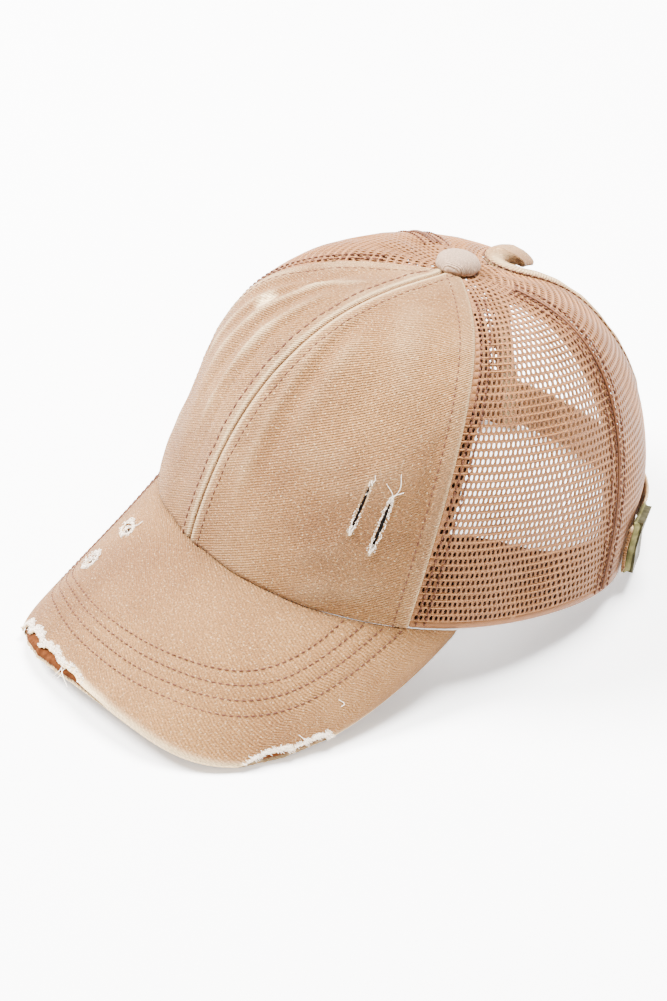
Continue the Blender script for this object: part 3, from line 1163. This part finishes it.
frays, crossings = [], []
for start, end, wide in slit_places:
    centre, along, aside, outward, half_long = slit_frame(start, end)
    for turn in np.linspace(0, 2 * np.pi, 260, endpoint=False):
        edge = (centre + aside * wide * chance.uniform(0.3, 0.6) * signed_power(np.sin(turn), 1.25)
            + along * half_long * signed_power(np.cos(turn), 0.9))
        out = unit(aside * math.sin(turn) + along * 0.5 * math.cos(turn))
        heading = unit(out * chance.uniform(-0.3, 0.8) + along * chance.uniform(-1, 1) + outward * 0.25)
        frays.append(curl(edge + outward * 0.1, heading, along, outward, chance.uniform(0.3, 0.9),
            chance.uniform(-1.5, 1.5)))
    for place in np.concatenate([np.linspace(-0.95, -0.8, 4), np.linspace(0.72, 0.97, 7)]):
        tilt = chance.uniform(-0.5, 0.5)
        ends = [centre + along * half_long * place + (aside + along * tilt * 0.5) * wide * s
            for s in (-0.75, 0.75)]
        share = np.linspace(0, 1, 6)[:, None]
        crossings.append(placed(ends[0] * (1 - share) + ends[1] * share
            - outward * 0.25 * np.sin(share * np.pi)))

yaw_turn = np.array([[math.cos(yaw), -math.sin(yaw), 0], [math.sin(yaw), math.cos(yaw), 0], [0, 0, 1]])
for place, out, long, wide in peak_holes:
    for turn in np.linspace(0, 2 * np.pi, 150, endpoint=False):
        near = chance.choice([chance.uniform(0.75, 1.15), chance.uniform(0.0, 0.3)], p=[0.85, 0.15])
        x, y = place + wide * near * math.sin(turn), out + long * near * math.cos(turn)
        base, up = peak_at(x, y, 1.95), yaw_turn @ peak_normal(np.float64(x), np.float64(y))
        inward = unit(peak_at(place, out, 1.9) - base)
        heading = unit(inward * chance.uniform(-0.9, 1) + np.cross(up, inward) * chance.uniform(-1, 1)
            + up * 0.25)
        frays.append(curl(base, heading, np.cross(up, heading), up, chance.uniform(0.5, 1.5),
            chance.uniform(-1.4, 1.4)))
    for _ in range(3):
        a, b = chance.uniform(0, 2 * np.pi), chance.uniform(0, 2 * np.pi)
        share = np.linspace(0, 1, 6)
        xs = place + wide * 1.05 * (math.sin(a) * (1 - share) + math.sin(b) * share)
        ys = out + long * 1.05 * (math.cos(a) * (1 - share) + math.cos(b) * share)
        crossings.append(placed(peak_at(xs, ys, 1.7)))

for low, high, count in ((-33.5, -0.5, 900), (38.0, 58.5, 560)):
    for turn in chance.uniform(low, high, count):
        torn = float(tear_depth(np.float64(turn), 0.14, 8))
        if torn < 0.25:
            continue
        reach = float(slope_length(np.float64(turn), 0)) - torn + chance.uniform(-2.2, -0.05)
        x = float(outline_across(np.float64(turn), 0))
        base, up = peak_at(x, reach, 1.95), yaw_turn @ peak_normal(np.float64(x), np.float64(reach))
        ahead = unit(peak_at(x, reach + 1, 1.95) - base)
        aside = np.cross(up, ahead)
        heading = unit(ahead * chance.uniform(-0.8, 0.3) + aside * chance.uniform(-1, 1)
            + up * chance.uniform(0, 0.3))
        frays.append(curl(base, heading, aside, up, chance.uniform(0.4, 1.1), chance.uniform(-1.8, 1.8)))

# Each longer thread: across and forward where it starts, then where it ends, and how it bows
peak_threads = [
    ((-53, 16), (-49.5, 11.5), 1.5),
    ((-20, 67), (-17, 71), 1.4),
    ((-18.5, 66.5), (-12.5, 70.2), -1.6),
    ((-20.5, 66.0), (-19.5, 71.5), 0.8),
    ((66, 32), (68.5, 34.5), 0.8),
    ((64.5, 49), (68, 53), 1.0),
]
for start, end, bow in peak_threads:
    share = np.linspace(0, 1, 9)
    xs = start[0] + (end[0] - start[0]) * share + bow * np.sin(share * 4)
    ys = start[1] + (end[1] - start[1]) * share
    crossings.append(placed(peak_at(xs, ys, 2.0 + 0.6 * np.sin(share * np.pi))))
# Each thread of a slit: angle and rise where it starts, then where it ends, and how it bows
slit_threads = [
    ((43.9, 0.31), (45.6, 0.375), 1.6),
    ((43.4, 0.30), (45.9, 0.33), -1.8),
    ((43.9, 0.305), (42.2, 0.345), 1.2),
    ((38.0, 0.335), (38.8, 0.36), 0.8),
]
for start, end, bow in slit_threads:
    share = np.linspace(0, 1, 9)
    angles = start[0] + (end[0] - start[0]) * share + bow * np.sin(share * 4) * 0.5
    crossings.append(placed(crown_at(angles, start[1] + (end[1] - start[1]) * share, 0.5)))
spin("frayed_ends", frays, 0.12, raw_cotton, "washed_cloth")
spin("crossing_threads", crossings, 0.14, raw_cotton, "washed_cloth")


# ---- Camera, floor and light --------------------------------------------------------------------
# The cap lies on a plain white sweep, seen from the wearer's left front and above. One soft light
# stands at its right front, and a second hangs over its back.
view_azimuth, view_elevation, view_distance = math.radians(51.94), math.radians(35.71), 1.01735
rightward = Vector((math.cos(view_azimuth), math.sin(view_azimuth), 0))
backward = Vector((math.sin(view_azimuth) * math.cos(view_elevation),
    -math.cos(view_azimuth) * math.cos(view_elevation), math.sin(view_elevation)))
upward = backward.cross(rightward)
camera = bpy.data.objects.new("camera", bpy.data.cameras.new("camera"))
bpy.context.scene.collection.objects.link(camera)
cap_middle, beside, below = Vector((0.00002, 0.0301, 0.06021)), -0.02646, -0.03246
camera.location = cap_middle + rightward * beside + upward * below + backward * view_distance
camera.rotation_euler = Matrix((rightward, upward, backward)).transposed().to_euler()
sensor_size, picture_height, focal_pixels = 36, 1001, 2584.1
camera.data.sensor_width = sensor_size
camera.data.lens = focal_pixels * sensor_size / picture_height
bpy.context.scene.camera = camera

sweep = bpy.data.meshes.new("floor")
reach = 4
sweep.from_pydata([(-reach, -reach, 0), (reach, -reach, 0), (reach, reach, 0), (-reach, reach, 0)], [],
    [(0, 1, 2, 3)])
floor = bpy.data.objects.new("floor", sweep)
bpy.context.scene.collection.objects.link(floor)
white, tree, shader = blank_finish("white_sweep", 0.9)
shader.inputs["Base Color"].default_value = (0.93, 0.925, 0.92, 1)
shader.inputs["Emission Color"].default_value = (1, 0.99, 0.985, 1)
shader.inputs["Emission Strength"].default_value = 0.6
sweep.materials.append(white)

world = bpy.data.worlds.new("studio")
bpy.context.scene.world = world
world.use_nodes = True
world.node_tree.nodes["Background"].inputs["Color"].default_value = (1, 0.99, 0.98, 1)
world.node_tree.nodes["Background"].inputs["Strength"].default_value = 0.62


def soft_light(name, place, aim, size, power):
    lamp = bpy.data.lights.new(name, "AREA")
    lamp.shape, lamp.size, lamp.energy = "DISK", size, power
    made = bpy.data.objects.new(name, lamp)
    made.location = place
    made.rotation_euler = (Vector(aim) - Vector(place)).to_track_quat("-Z", "Y").to_euler()
    bpy.context.scene.collection.objects.link(made)


soft_light("window", (-1.2, -0.7, 1.5), (0, 0, 0.05), 0.9, 290)
soft_light("overhead", (-0.1, 0.7, 2.0), (0, 0, 0.05), 1.1, 300)
